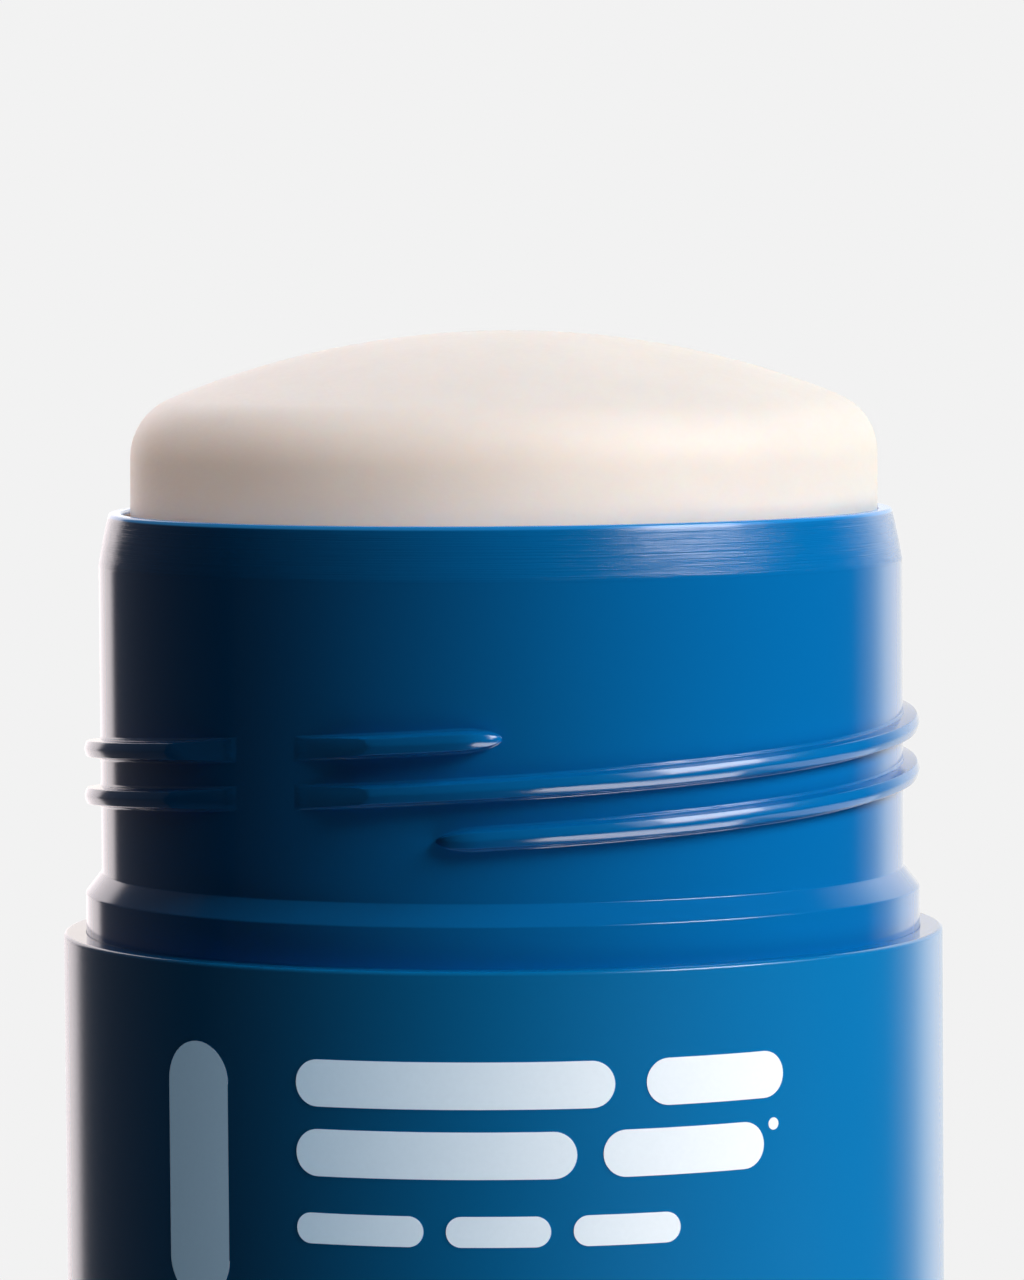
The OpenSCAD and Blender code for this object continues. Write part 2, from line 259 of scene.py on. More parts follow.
class Nodes:
    """Builds a material's nodes with short calls. Names of sockets have _ for a space."""

    def __init__(self, name):
        self.material = bpy.data.materials.new(name)
        self.material.use_nodes = True
        self.tree = self.material.node_tree
        self.shader = self.tree.nodes["Principled BSDF"]

    def set(self, **values):
        """Sets sockets of the shader."""
        for key, value in values.items():
            self.shader.inputs[key.replace("_", " ")].default_value = value

    def feed(self, **sources):
        """Links sources to sockets of the shader."""
        for key, source in sources.items():
            self.tree.links.new(source, self.shader.inputs[key.replace("_", " ")])

    def put(self, socket, value):
        """Links a value that is a socket, and sets one that is a constant."""
        if isinstance(value, bpy.types.NodeSocket):
            self.tree.links.new(value, socket)
        else:
            socket.default_value = value

    def add(self, kind, **inputs):
        node = self.tree.nodes.new(kind)
        for key, value in inputs.items():
            self.put(node.inputs[key.replace("_", " ")], value)
        return node

    def coords(self):
        """The place on the piece in metres, as it was made."""
        return self.tree.nodes.new("ShaderNodeTexCoord").outputs["Object"]

    def height(self):
        """The height over the floor in millimetres."""
        split = self.add("ShaderNodeSeparateXYZ", Vector=self.coords())
        return self.maths("DIVIDE", split.outputs["Z"], MM)

    def radius(self):
        """The distance from the pack's axis in millimetres."""
        split = self.add("ShaderNodeSeparateXYZ", Vector=self.coords())
        squares = [self.maths("MULTIPLY", split.outputs[k], split.outputs[k]) for k in "XY"]
        return self.maths("DIVIDE", self.maths("SQRT", self.maths("ADD", *squares), 0.0), MM)

    def noise(self, scale, detail=3.0, rough=0.5):
        """Noise with a scale for each axis, in waves to the millimetre."""
        mapping = self.add("ShaderNodeMapping", Vector=self.coords(),
                           Scale=[s / MM for s in scale])
        node = self.add("ShaderNodeTexNoise", Vector=mapping.outputs["Vector"], Scale=1.0,
                        Detail=detail, Roughness=rough)
        return node.outputs["Fac"]

    def ramp(self, value, low, high, out_low=0.0, out_high=1.0):
        """Maps one range onto another and holds its ends."""
        node = self.add("ShaderNodeMapRange", Value=value, From_Min=low, From_Max=high,
                        To_Min=out_low, To_Max=out_high)
        node.clamp = True
        return node.outputs["Result"]

    def spread(self, noise, low, high):
        """Stretches the middle of a noise over a range."""
        return self.ramp(noise, 0.3, 0.7, low, high)

    def band(self, value, rise, fall):
        """One between a soft rise and a soft fall, and nought outside them."""
        return self.maths("MULTIPLY", self.ramp(value, *rise), self.ramp(value, *fall, 1.0, 0.0))

    def maths(self, operation, a, b):
        node = self.tree.nodes.new("ShaderNodeMath")
        node.operation = operation
        for socket, value in zip(node.inputs, (a, b)):
            self.put(socket, value)
        return node.outputs["Value"]

    def mix(self, factor, a, b):
        """Mixes two plain colours."""
        node = self.tree.nodes.new("ShaderNodeMix")
        node.data_type = "RGBA"
        self.put(node.inputs["Factor"], factor)
        self.put(node.inputs[6], (*a, 1))
        self.put(node.inputs[7], (*b, 1))
        return node.outputs[2]

    def blend(self, factor, under, over):
        """A plain colour laid over another socket's colour."""
        mixed = self.mix(factor, over, over)
        self.put(mixed.node.inputs[6], under)
        return mixed

    def bump(self, height, distance):
        node = self.add("ShaderNodeBump", Height=height, Distance=distance * MM, Strength=1.0)
        self.feed(Normal=node.outputs["Normal"])


# Materials

def moulded(n, tones, clouds, grain, roughness, depth):
    """Two close tones in broad clouds, a roughness, and a grain in the relief."""
    n.feed(Base_Color=n.mix(n.noise(clouds, 2), *tones), Roughness=roughness)
    n.bump(grain, depth)


def rubbed_parts(n, height, radius):
    """Where the cap has rubbed: the curved rim and the foot of the beads, in patches."""
    lip_from = RIM_Z - LIP_H - 0.1, RIM_Z - LIP_H + 0.1
    lip_to = RIM_Z - 0.3, RIM_Z - 0.15
    skirt_from = NECK_R + 0.01, NECK_R + 0.03
    skirt_to = NECK_R + SKIRT_H, NECK_R + SKIRT_H + 0.03
    over_collar = SHOULDER_Z + COLLAR_H + 0.5, SHOULDER_Z + COLLAR_H + 0.7
    bare, rubbed, least_rub = 0.25, 0.6, 0.5
    rim = n.band(height, lip_from, lip_to)
    skirts = n.maths("MULTIPLY", n.band(radius, skirt_from, skirt_to),
                     n.ramp(height, *over_collar))
    patches = n.noise((0.25, 0.25, 1.2), 2)
    return n.maths("MULTIPLY", n.maths("MAXIMUM", rim, skirts),
                   n.ramp(patches, bare, rubbed, least_rub, 1.0))


def neck_plastic():
    """Glossy blue moulded plastic. The rim's thin edge is painted a lighter blue with a painted
    glow, standing in for light through the plastic, and just inside its mouth the bore is painted
    in the bar's wax colour as a painted reflection of the bar. Where the cap has rubbed, it is
    duller and fine marks run around it."""
    tones = (0.0, 0.155, 0.48), (0.0, 0.168, 0.52)
    # The rim's thin edge: a lighter blue and an emitted glow, a painted highlight for light
    # through it
    painted_edge_blue, painted_edge_glow = (0.0, 0.17, 0.52), (0.01, 0.09, 0.21, 1)
    # Wax colour on the bore inside the mouth: a painted reflection of the bar
    bar_reflection_paint = (0.66, 0.56, 0.51)
    edge_from = RIM_Z - 0.22, RIM_Z - 0.14
    reflection_heights, reflection_radii = (RIM_Z - 1.5, RIM_Z - 1.0), (BORE_R + 0.02, BORE_R + 0.06)
    streak_depth, plain_share = 0.033, 0.03
    n = Nodes("neck_plastic")
    n.set(IOR=1.5, Emission_Color=painted_edge_glow)
    height = n.height()
    radius = n.radius()
    blue = n.mix(n.noise((0.05, 0.05, 0.08), 2), *tones)
    # Mask of the painted highlight and glow on the rim's edge
    edge = n.ramp(height, *edge_from)
    # Mask of the painted reflection of the bar inside the mouth
    mouth = n.maths("MULTIPLY", n.ramp(radius, *reflection_radii, 1.0, 0.0),
                    n.ramp(height, *reflection_heights))
    color = n.blend(mouth, n.blend(edge, blue, painted_edge_blue), bar_reflection_paint)
    worn = rubbed_parts(n, height, radius)
    n.feed(Base_Color=color, Emission_Strength=edge, Roughness=n.ramp(worn, 0, 1, 0.13, 0.15),
           Specular_IOR_Level=n.ramp(worn, 0, 1, 0.5, 0.36))
    streaks = n.noise((0.08, 0.08, 13.0), 3, 0.6)
    n.bump(n.maths("MULTIPLY", streaks, n.ramp(worn, 0, 1, plain_share, 1.0)), streak_depth)
    return n.material


def sleeve_plastic():
    """Satin blue plastic with a fine even grain, smoother on top of the shoulder."""
    tones = (0.0, 0.192, 0.53), (0.0, 0.207, 0.575)
    top_from, smoother = (SHOULDER_Z - 0.12, SHOULDER_Z - 0.04), 0.08
    n = Nodes("sleeve_plastic")
    n.set(IOR=1.56)
    grain = n.noise((9, 9, 9), 2)
    top = n.ramp(n.height(), *top_from, 0.0, smoother)
    rough = n.maths("SUBTRACT", n.spread(grain, 0.18, 0.23), top)
    moulded(n, tones, (0.04, 0.04, 0.06), grain, rough, 0.0015)
    return n.material


def dial_plastic():
    """The same blue, moulded a little duller where the fingers grip."""
    tones = (0.0, 0.16, 0.48), (0.0, 0.175, 0.52)
    n = Nodes("dial_plastic")
    n.set(IOR=1.5)
    grain = n.noise((5, 5, 5), 3)
    moulded(n, tones, (0.06, 0.06, 0.1), grain, n.spread(grain, 0.24, 0.36), 0.003)
    return n.material


def inner_plastic():
    """Natural moulded plastic of the hidden pieces."""
    tones = (0.78, 0.78, 0.75), (0.83, 0.83, 0.81)
    n = Nodes("inner_plastic")
    n.set(IOR=1.5, Subsurface_Weight=0.15, Subsurface_Scale=0.002,
          Subsurface_Radius=(1.0, 0.95, 0.9))
    grain = n.noise((3, 3, 3), 3)
    moulded(n, tones, (0.15, 0.15, 0.15), grain, n.spread(grain, 0.35, 0.48), 0.003)
    return n.material


def bar_solid():
    """Waxy off-white mass, slightly see-through, with faint clouds and a fine grain."""
    tones = (0.75, 0.722, 0.705), (0.775, 0.752, 0.735)
    n = Nodes("bar_solid")
    n.set(IOR=1.42, Specular_IOR_Level=0.2, Subsurface_Weight=1.0, Subsurface_Scale=0.0012,
          Subsurface_Radius=(1.0, 0.72, 0.56))
    clouds = n.ramp(n.noise((0.12, 0.12, 0.2), 4, 0.6), 0.35, 0.65)
    fine = n.noise((2.2, 2.2, 3.0), 5, 0.6)
    n.feed(Base_Color=n.mix(clouds, *tones), Roughness=n.spread(fine, 0.36, 0.5))
    n.bump(fine, 0.012)
    return n.material


def ink(name, color):
    """Screen-printed ink, a touch glossier than the sleeve, with slight unevenness."""
    n = Nodes(name)
    n.set(IOR=1.5)
    uneven = n.noise((4, 4, 4), 3)
    low = tuple(c * 0.95 for c in color)
    n.feed(Base_Color=n.mix(uneven, low, color), Roughness=n.spread(uneven, 0.28, 0.38))
    n.bump(uneven, 0.002)
    return n.material


# The neck with its collar and thread

def lip_outline():
    """The curved-in rim, from its kink on the neck to the edge of the flat on top."""
    kink, edge_steep = math.radians(LIP_KINK), math.radians(LIP_EDGE_STEEP)
    lip_top = 2 * math.atan2(BARREL_WALL - LIP_LAND, LIP_H) - kink
    lip_r = LIP_H / (math.sin(lip_top) - math.sin(kink))
    edge_z = RIM_Z - LIP_EDGE * (1 - math.sin(edge_steep))
    lip_end = math.asin(math.sin(kink) + (edge_z - RIM_Z + LIP_H) / lip_r)
    lip_x = NECK_R - lip_r * math.cos(kink)
    edge_x = lip_x + lip_r * math.cos(lip_end) - LIP_EDGE * math.cos(edge_steep)
    return (
        arc(lip_x, RIM_Z - LIP_H - lip_r * math.sin(kink), lip_r, LIP_KINK,
            math.degrees(lip_end), 20)
        + arc(edge_x, RIM_Z - LIP_EDGE, LIP_EDGE, LIP_EDGE_STEEP, 90, 8)
    )


def barrel_outline():
    """The stepped collar, the neck with its rim, and the barrel down to its lower end."""
    outer_edge, foot, bore_edge = 0.16, 0.12, 0.12
    slope_z = SHOULDER_Z + COLLAR_H - COLLAR_SLOPE_H
    top_z = SHOULDER_Z + COLLAR_H
    slope = math.degrees(math.atan2(COLLAR_STEP, COLLAR_SLOPE_H))
    edge_run = outer_edge * math.tan(math.radians(slope / 2))
    foot_run = foot * math.tan(math.radians(slope / 2))
    return (
        [(BORE_R, BARREL_LOW.z), (NECK_R, BARREL_LOW.z)]
        + [(NECK_R, SHOULDER_Z - COLLAR_DROP - COLLAR_STEP), (COLLAR_R, SHOULDER_Z - COLLAR_DROP)]
        + arc(COLLAR_R - outer_edge, slope_z - edge_run, outer_edge, 0, slope, 6)
        + arc(NECK_R + foot, top_z + foot_run, foot, 180 + slope, 180, 6)
        + lip_outline()
        + arc(BORE_R + bore_edge, RIM_Z - bore_edge, bore_edge, 90, 180, 5)
    )


def bend(start, radius, steep_from, steep_to, steps=5):
    """Points of a bend that falls away outwards, between two steepnesses in degrees."""
    a = math.radians(steep_from)
    points = []
    for i in range(1, steps + 1):
        b = math.radians(steep_from + (steep_to - steep_from) * i / steps)
        points.append((start[0] + radius * abs(math.sin(b) - math.sin(a)),
                       start[1] - radius * abs(math.cos(b) - math.cos(a))))
    return points


def half_bead(skirt):
    """Half a bead's section as (across, out): a blunt crest with a gentle slope, a small
    rounded edge, a steep flank, and a shallow skirt that runs out on the neck."""
    points = [(0, BEAD_H)]
    for radius, steep_from, steep_to in BEAD_BENDS:
        points += bend(points[-1], radius, steep_from, steep_to)
    skirt_h = -bend((0, 0), *skirt)[-1][1]
    flank = math.radians(BEAD_BENDS[-1][2])
    foot = (points[-1][0] + (points[-1][1] - skirt_h) / math.tan(flank), skirt_h)
    return points + [foot] + bend(foot, *skirt)


def bead(bm, turn):
    """One bead of the cap thread, ending in rounded noses. Gives back its vertices."""
    lower = [(-across, out) for across, out in half_bead(LOWER_SKIRT)[:0:-1]]
    section = lower + half_bead(UPPER_SKIRT)
    nose = math.degrees(BEAD_NOSE / NECK_R)
    near = [nose * (1 - math.cos(math.pi / 2 * i / NOSE_STEPS)) for i in range(NOSE_STEPS)]
    plain = THREAD_RUN - 2 * nose
    middle = [nose + plain * i / BEAD_STEPS for i in range(BEAD_STEPS + 1)]
    rings = []
    for along in near + middle + [THREAD_RUN - a for a in reversed(near)]:
        end = min(along, THREAD_RUN - along) / nose
        full = 1.0 if end >= 1 else math.sqrt(max(1 - (1 - end) ** 2, 1e-4))
        a = math.radians(turn + along)
        z = SHOULDER_Z + THREAD_RISE + THREAD_LEAD * along / 360
        rings.append([on_round(bm, NECK_R - BEAD_SINK + out * full, a, z + across * full)
                      for across, out in section])
    for p, q in zip(rings, rings[1:]):
        for i in range(len(section) - 1):
            bm.faces.new((p[i], p[i + 1], q[i + 1], q[i]))
    return [v for ring in rings for v in ring]


def shave(bm, verts):
    """Cuts a bead flat at both strips of the parting line. Gives back the cut faces."""
    caps = []
    strip_r = NECK_R * math.cos(math.radians(STRIP_HALF))
    for side in (0, 180):
        a = math.radians(STRIP_AT + side)
        out = Vector((math.sin(a), -math.cos(a), 0))
        live = [v for v in verts if v.is_valid]
        geom = live + list(dict.fromkeys(e for v in live for e in v.link_edges))
        geom += list(dict.fromkeys(f for v in live for f in v.link_faces))
        cut = bmesh.ops.bisect_plane(bm, geom=geom, plane_co=out * strip_r, plane_no=out,
                                     clear_outer=True)["geom_cut"]
        rim = [e for e in cut if isinstance(e, bmesh.types.BMEdge)]
        verts = [v for v in live if v.is_valid]
        verts += [v for v in cut if isinstance(v, bmesh.types.BMVert)]
        if rim:
            caps += bmesh.ops.contextual_create(bm, geom=rim)["faces"]
    return caps


def bore_ribs(bm):
    """The ribs in the bore that keep the carrier from turning."""
    rib_edge = 0.12
    low = (BORE_R - RIB_PROUD, -RIB_W / 2, BARREL_LOW.z + RIB_FOOT)
    high = (BORE_R + BARREL_WALL / 2, RIB_W / 2, RIM_Z - RIB_STOP)
    for i in range(RIB_N):
        block(bm, low, high, math.radians(45 + 360 / RIB_N * i), rib_edge)


def make_barrel(material):
    """The neck and barrel with the cap thread outside and the ribs inside."""
    bm = bmesh.new()
    lathe(bm, supported(barrel_outline()), even_angles(ROUND_STEPS))
    shaved = []
    for i in range(THREAD_STARTS):
        shaved += shave(bm, bead(bm, THREAD_START + i * 360 / THREAD_STARTS))
    bore_ribs(bm)
    obj = finish_mesh("neck_and_barrel", bm, "barrel", material, sharp=40,
                      flat=shaved)
    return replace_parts(obj, "inner_barrel")


# The sleeve and the dial

def make_sleeve(material):
    """The outer sleeve with its narrow flat shoulder, close around the collar."""
    low_edge, inner_edge = 0.2, 0.03
    bore = COLLAR_R + SLEEVE_GAP
    outline = (
        [(bore, SLEEVE_LOW.z)]
        + arc(SLEEVE_R - low_edge, SLEEVE_LOW.z + low_edge, low_edge, -90, 0, 4)
        + arc(SLEEVE_R - SHOULDER_ROUND, SHOULDER_Z - SHOULDER_ROUND, SHOULDER_ROUND, 0, 90, 10)
        + arc(bore + inner_edge, SHOULDER_Z - inner_edge, inner_edge, 90, 180, 4)
    )
    bm = bmesh.new()
    lathe(bm, supported(outline), even_angles(ROUND_STEPS))
    obj = finish_mesh("sleeve", bm, "barrel", material)
    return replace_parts(obj, "outer_sleeve")


def dial_wall(r, z, angle):
    """The dial's outer radius: flutes that fade out below the plain top band."""
    under_flutes, fade_h = 0.35, 0.4
    if r < DIAL_R - FLUTE_DEPTH - under_flutes or z > DIAL_H:
        return r
    pitch = 2 * math.pi / FLUTE_N
    off = (angle + pitch / 2) % pitch - pitch / 2
    reach = FLUTE_R ** 2 - (off * DIAL_R) ** 2
    dip = max(0.0, FLUTE_DEPTH - FLUTE_R + math.sqrt(max(reach, 0.0)))
    fade = min(1.0, max(0.0, (DIAL_H - FLUTE_STOP - z) / fade_h))
    return min(r, DIAL_R - dip * math.sqrt(fade))


def dial_outline(boss_r, inner_r, floor_z):
    """The dial's section, from the middle of its base to the floor of its socket."""
    foot_edge, top_edge = 0.2, 0.2
    fade_rows = (0.6, 0.4, 0.3, 0.2, 0.1, 0.04, 0.0)
    boss_z = DIAL_HIGH.z
    socket_z = boss_z - SOCKET_DEPTH
    foot = DIAL_R - FOOT_W
    return (
        [(0, FOOT_RECESS), (foot - foot_edge, FOOT_RECESS)]
        + arc(foot + foot_edge, foot_edge, foot_edge, 180, 270, 4)
        + arc(DIAL_R - DIAL_ROUND, DIAL_ROUND, DIAL_ROUND, -90, 0, 8)
        + [(DIAL_R, DIAL_H - FLUTE_STOP - t) for t in fade_rows]
        + arc(DIAL_R - top_edge, DIAL_H - top_edge, top_edge, 0, 90, 5)
        + [(inner_r, DIAL_H), (inner_r, floor_z), (boss_r, floor_z), (boss_r, boss_z)]
        + [(SOCKET_R, boss_z), (SOCKET_R, socket_z), (0, socket_z)]
    )


def make_dial(material):
    """The dial, with its boss and webs, which are out of sight."""
    web_sink, web_edge = 0.3, 0.1
    inner_r = DIAL_R - FLUTE_DEPTH - DIAL_WALL
    boss_r = HEX_FLATS / math.sqrt(3) + HEX_GAP + BOSS_WALL
    floor_z = FOOT_RECESS + DIAL_FLOOR_T
    bm = bmesh.new()
    lathe(bm, dial_outline(boss_r, inner_r, floor_z), even_angles(FLUTE_N * FLUTE_STEPS),
          shape=dial_wall)
    low = (boss_r - web_sink, -WEB_T / 2, floor_z - web_sink)
    high = (inner_r + web_sink, WEB_T / 2, floor_z + WEB_H)
    for i in range(WEB_N):
        block(bm, low, high, math.radians(360 / WEB_N * i), web_edge)
    obj = finish_mesh("grip_dial", bm, "dial", material, sharp=40)
    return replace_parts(obj, "dial")


# The bar, with the levels of the cup's rim and of its grooves' upper ends

CUP_Z = BAR_LOW.z + CARRIER_FLOOR_T + CUP_H
GROOVE_TOP = RIM_Z - RIB_STOP + LIFT_REST + RIB_GAP


def bar_outline():
    """The bar's section, from the cup's floor up its wall and over its dome."""
    crown_z = BAR_TOP_Z - DOME_R
    corner_x = BAR_R - BAR_CORNER_R
    corner_z = crown_z + math.sqrt((DOME_R - BAR_CORNER_R) ** 2 - corner_x ** 2)
    crown = math.degrees(math.atan2(corner_x, corner_z - crown_z))
    cup_bore = BAR_R - CUP_WALL
    low = CUP_Z - CUP_H
    return (
        [(0, low), (cup_bore, low), (cup_bore, CUP_Z), (BAR_R, CUP_Z)]
        + arc(corner_x, corner_z, BAR_CORNER_R, 0, 90 - crown, 14)
        + arc(0, crown_z, DOME_R, 90 - crown, 90, 24)[1:-1]
        + [(0, BAR_TOP_Z)]
    )


def bar_wall(r, z, angle):
    """The bar's radius, let in where the barrel's ribs slide."""
    side_run, end_run = 0.12, 0.2
    groove_r = BORE_R - RIB_PROUD - RIB_GAP
    if r <= groove_r or z > GROOVE_TOP:
        return r
    pitch = 2 * math.pi / RIB_N
    off = abs((angle - math.pi / 4 + pitch / 2) % pitch - pitch / 2) * BAR_R
    side = min(1.0, max(0.0, (RIB_W / 2 + RIB_GAP - off) / side_run + 0.5))
    end = min(1.0, (GROOVE_TOP - z) / end_run)
    return r - (r - groove_r) * side * end


def make_bar(material):
    """The solid bar, with a finely stepped wall so that its grooves have clean edges. Above the
    cup it has a slight draft and leans to the right within its gap, as in the photograph."""
    outline = supported(bar_outline(), near=0.2)
    cut = next(i for i, (r, z) in enumerate(outline) if r > BAR_R - 1e-6 and z > GROOVE_TOP)
    outline[cut:cut] = [(BAR_R, GROOVE_TOP - t) for t in (0.2, 0.15, 0.1, 0.05, 0.0)]
    bm = bmesh.new()
    lathe(bm, outline, even_angles(BAR_STEPS), shape=bar_wall)
    for v in bm.verts:
        up = max(0, v.co.z - CUP_Z) / (BAR_TOP_Z - CUP_Z)
        v.co.x *= 1 - BAR_DRAFT * up / BAR_R
        v.co.y *= 1 - BAR_DRAFT * up / BAR_R
        v.co.x += BAR_LEAN * up
    obj = finish_mesh("bar", bm, "carrier", material)
    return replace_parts(obj, "deodorant_bar")


# Print: plain bars in place of the wording. Distances around the sleeve run from the front.

PRINT_LINES = (
    (34.3, 36.6, ((-10.5, 5.4), (7.0, 14.6))),
    (30.9, 33.2, ((-10.5, 3.5), (4.8, 13.4))),
    (27.6, 29.1, ((-10.5, -4.0), (-2.9, 2.2), (3.3, 8.7))),
    (32.7, 33.3, ((13.7, 14.3),)),
)
PRINT_BAND = (
    (13.5, 22.6, ((-18.5, -14.5),)),
    (24.4, 37.1, ((-18.5, -14.5),)),
)


def patch_steps(start, end, r):
    """The distances at which a patch has its columns, close together at its round ends."""
    bends = [r * math.sin(math.radians(9 * i)) for i in range(11)]
    ends = [start + r - b for b in bends] + [end - r + b for b in bends]
    n = max(2, math.ceil((end - start) / INK_STEP))
    straight = [start + r + (end - start - 2 * r) * i / n for i in range(n + 1)]
    return sorted({round(s, 4) for s in ends + straight})


def printed(bm, start, end, low, high):
    """A rounded patch of ink on the sleeve between two distances around it and two heights."""
    r = min(high - low, end - start) / 2
    columns = []
    for s in patch_steps(start, end, r):
        inward = max(start + r - s, s - (end - r), 0.0)
        half = math.sqrt(max(r * r - inward * inward, 0.0))
        bottom, top = low + r - half, high - r + half
        places = ((bottom, -INK_SINK), (bottom, INK_T), (top, INK_T), (top, -INK_SINK))
        columns.append([on_round(bm, SLEEVE_R + out, s / SLEEVE_R, z) for z, out in places])
    for p, q in zip(columns, columns[1:]):
        for i in range(len(p) - 1):
            bm.faces.new((p[i], p[i + 1], q[i + 1], q[i]))


def make_print(name, lines, material):
    """Patches of one ink. Each line is (low, high, words), each word a (start, end)."""
    bm = bmesh.new()
    for low, high, words in lines:
        for start, end in words:
            printed(bm, start, end, low, high)
    return finish_mesh(name, bm, "barrel", material, sharp=30)


# Stage and light

# Brightness of the floor and the surroundings, and how far round the pack the floor's painted
# shadow reaches
PALE = 0.888
FLOOR_SHADE = 22

# The backdrop's brightness at some azimuths in degrees, and its tints
BACKDROP_GLOW = ((118, 0), (130, 0.62), (142, 1.57), (152, 1.57), (164, 1.26), (178, 1.22),
                 (190, 1.76), (212, 1.76), (216, 0.12), (280, 0))
FRESH, WARM, PINK = Vector((1, 1.04, 0.87)), Vector((1, 0.93, 0.8)), Vector((1, 0.91, 0.92))

# Name, azimuth and elevation in degrees, distance, width and height in metres, strength,
# colour, the reflections it is for, and the pieces it lights
LIGHTS = (
    ("key", 70, 32.5, 0.6, 0.5, 0.22, 12, (1.0, 0.94, 0.86), "diffuse", "shell_and_ink"),
    ("key_wax", 50, 24, 0.6, 0.5, 0.22, 8.7, (1.0, 0.965, 0.92), "diffuse", "wax"),
    ("key_shine", 61, 32.5, 0.6, 0.31, 0.22, 10.5, (1.0, 0.96, 0.92), "glossy", "all"),
    ("key_halo", 62, 32.5, 0.62, 0.54, 0.24, 2.0, (1.0, 0.96, 0.92), "glossy", "all"),
    ("table_shine", 45, -38, 0.6, 0.6, 0.13, 8, (1.0, 0.95, 0.92), "glossy", "all"),
    ("table_far", 105, -25, 0.6, 0.6, 0.13, 1.7, (0.94, 0.96, 1.0), "glossy", "all"),
    ("table_bounce", 62, -36, 0.6, 0.6, 0.3, 2.4, (1.0, 0.96, 0.92), "diffuse", "all"),
    ("top", -20, 75, 0.7, 0.8, 0.8, 0.16, (1.0, 0.95, 0.9), "diffuse", "all"),
    ("top_wax", 40, 85, 0.7, 0.9, 0.9, 1.05, (0.88, 0.92, 1.0), "diffuse", "wax"),
    ("fill_wax", -40, 18, 0.7, 0.9, 0.9, 0.4, (1.0, 0.72, 0.54), "diffuse", "wax"),
    ("front_wax", 10, 0, 0.7, 0.9, 0.9, 0.62, (1.0, 0.86, 0.78), "diffuse", "wax"),
    ("rim_wax", -135, 12, 0.7, 0.9, 0.9, 1.6, (1.0, 0.82, 0.72), "diffuse", "wax"),
    ("fill_ink", 0, 15, 0.7, 0.9, 0.9, 1.3, (0.45, 0.74, 1.0), "diffuse", "ink"),
)
LIGHT_AIM_UNDER_RIM = 8


def area_light(name, azimuth, elevation, distance, width, height, strength, color, use, lit):
    """A soft rectangular light that faces the neck. Azimuth runs from the front to the right.
    strength is the brightness of its face. Where lit names pieces, it lights no others."""
    aim = Vector((0, 0, RIM_Z - LIGHT_AIM_UNDER_RIM)) * MM
    a, e = math.radians(azimuth), math.radians(elevation)
    away = Vector((math.sin(a) * math.cos(e), -math.cos(a) * math.cos(e), math.sin(e)))
    data = bpy.data.lights.new(name, "AREA")
    data.shape = "RECTANGLE"
    data.size = width
    data.size_y = height
    data.energy = strength * math.pi * width * height
    data.color = color
    obj = bpy.data.objects.new(name, data)
    obj.location = aim + away * distance
    obj.rotation_mode = "QUATERNION"
    obj.rotation_quaternion = away.to_track_quat("Z", "Y")
    obj.visible_camera = False
    obj.visible_diffuse = use == "diffuse"
    obj.visible_glossy = use == "glossy"
    bpy.context.scene.collection.objects.link(obj)
    if lit:
        pieces = bpy.data.collections.new(name + "_lit")
        for piece in lit:
            pieces.objects.link(piece)
        obj.light_linking.receiver_collection = pieces


def make_lights(shell, wax, inked):
    """A key light at the right with its wide halo, its mirror image in a shiny table, and faint
    fills. Wax and ink pass light on more than the blue shell does, so each has its own share."""
    groups = {"all": (), "wax": wax, "ink": inked, "shell_and_ink": shell + inked}
    for *values, group in LIGHTS:
        area_light(*values, groups[group])


def stage_object(name, bm, **values):
    """Makes a black, dull object of a bmesh in metres that casts no shadow. Gives back the
    object and its material's nodes."""
    mesh = bpy.data.meshes.new(name)
    bm.to_mesh(mesh)
    bm.free()
    obj = bpy.data.objects.new(name, mesh)
    bpy.context.scene.collection.objects.link(obj)
    obj.visible_shadow = False
    n = Nodes(name)
    n.set(Base_Color=(0, 0, 0, 1), Specular_IOR_Level=0.0, **values)
    mesh.materials.append(n.material)
    return obj, n


def backdrop():
    """A curved pale card behind the pack, seen only in its reflections and by its light. Its
    glow fades in slowly at the right, and falls off quickly at the left."""
    radius, half_h = 0.9, 0.7
    warm_from, warm_over = 134, 16
    pink_from, pink_over = 172, 20
    bm = bmesh.new()
    glow = bm.verts.layers.float_color.new("glow")
    columns = []
    for (start, low), (end, high) in zip(BACKDROP_GLOW, BACKDROP_GLOW[1:]):
        for azimuth in range(start, end):
            level = low + (high - low) * (azimuth - start) / (end - start)
            tint = FRESH.lerp(WARM, min(1, max(0, (azimuth - warm_from) / warm_over)))
            tint = tint.lerp(PINK, min(1, max(0, (azimuth - pink_from) / pink_over)))
            column = [on_round(bm, radius, math.radians(azimuth), RIM_Z * MM + z)
                      for z in (-half_h, half_h)]
            for v in column:
                v[glow] = (*(tint * level), 1)
            columns.append(column)
    for p, q in zip(columns, columns[1:]):
        bm.faces.new((p[0], q[0], q[1], p[1]))
    card, n = stage_object("backdrop", bm, Emission_Strength=1.0)
    color = n.tree.nodes.new("ShaderNodeVertexColor")
    color.layer_name = "glow"
    n.feed(Emission_Color=color.outputs["Color"])
    card.visible_camera = False


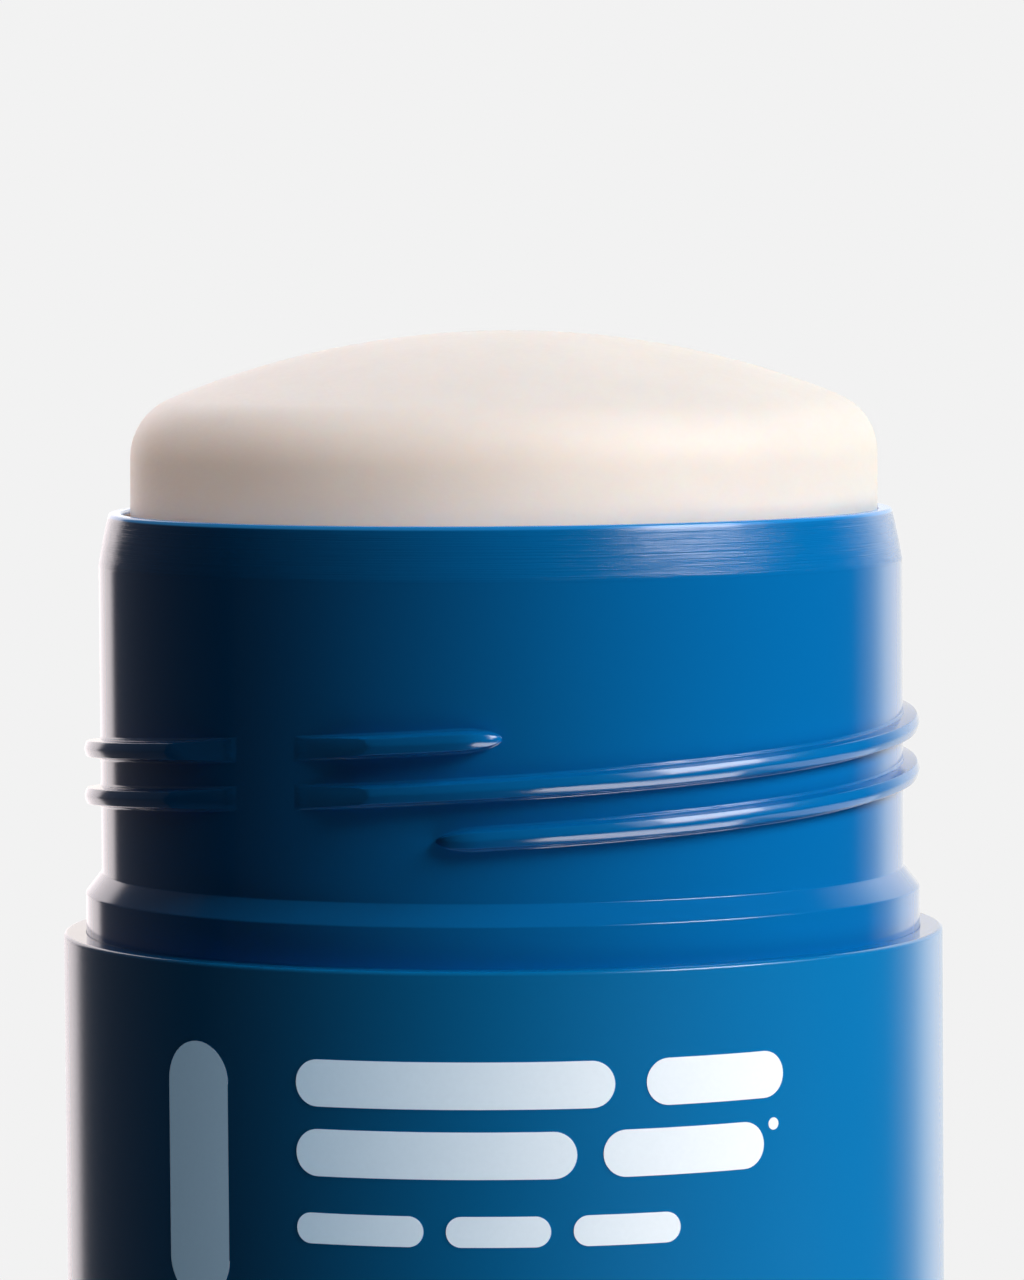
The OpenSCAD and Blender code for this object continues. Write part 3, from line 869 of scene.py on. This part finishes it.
def table_card():
    """The pale table as it shows in faces that look down, such as the beads' lower flanks."""
    under_rim, radius, glow = 0.22, 0.16, 0.45
    bm = bmesh.new()
    bmesh.ops.create_circle(bm, cap_ends=True, radius=radius, segments=48)
    card, n = stage_object("table_card", bm, Emission_Strength=glow,
                           Emission_Color=(1, 0.95, 0.93, 1))
    card.location.z = RIM_Z * MM - under_rim
    card.visible_camera = False
    card.visible_diffuse = False


def make_floor():
    """A plain pale floor that only the camera sees, with a painted contact shadow where the pack
    stands.
    """
    radius, painted_shadow_share = 3, 0.45
    bm = bmesh.new()
    bmesh.ops.create_circle(bm, cap_ends=True, radius=radius, segments=96)
    floor, n = stage_object("floor", bm, Roughness=1.0, Emission_Color=(1, 1, 1, 1))
    near = n.add("ShaderNodeAmbientOcclusion", Distance=FLOOR_SHADE * MM)
    near.samples = 16
    # The floor's glow is dimmed by occlusion near the pack: a painted contact shadow
    n.feed(Emission_Strength=n.ramp(near.outputs["AO"], 0, 1, PALE * painted_shadow_share, PALE))
    floor.visible_diffuse = False
    floor.visible_glossy = False


def make_surroundings():
    """Pale surroundings for the camera, and almost none for the pieces."""
    unseen = 0.025
    world = bpy.data.worlds.new("surroundings")
    bpy.context.scene.world = world
    world.use_nodes = True
    tree = world.node_tree
    background = tree.nodes["Background"]
    background.inputs["Color"].default_value = (1, 1, 1, 1)
    path = tree.nodes.new("ShaderNodeLightPath")
    level = tree.nodes.new("ShaderNodeMapRange")
    level.inputs["To Min"].default_value = unseen
    level.inputs["To Max"].default_value = PALE
    tree.links.new(path.outputs["Is Camera Ray"], level.inputs["Value"])
    tree.links.new(level.outputs["Result"], background.inputs["Strength"])


make_camera()
scene = bpy.context.scene
scene.view_settings.view_transform = "Standard"

plastic_inner = inner_plastic()
for name in ("base_plate", "lift_screw", "carrier"):
    nodes[name].data.materials.clear()
    nodes[name].data.materials.append(plastic_inner)

shell = [make_barrel(neck_plastic()), make_sleeve(sleeve_plastic()), make_dial(dial_plastic())]
bar = make_bar(bar_solid())
inked = [make_print("print_lines", PRINT_LINES, ink("ink_bright", (0.94, 0.94, 0.96))),
         make_print("print_band", PRINT_BAND, ink("ink_dim", (0.56, 0.59, 0.62)))]
make_floor()
make_surroundings()
make_lights(shell, [bar], inked)
backdrop()
table_card()
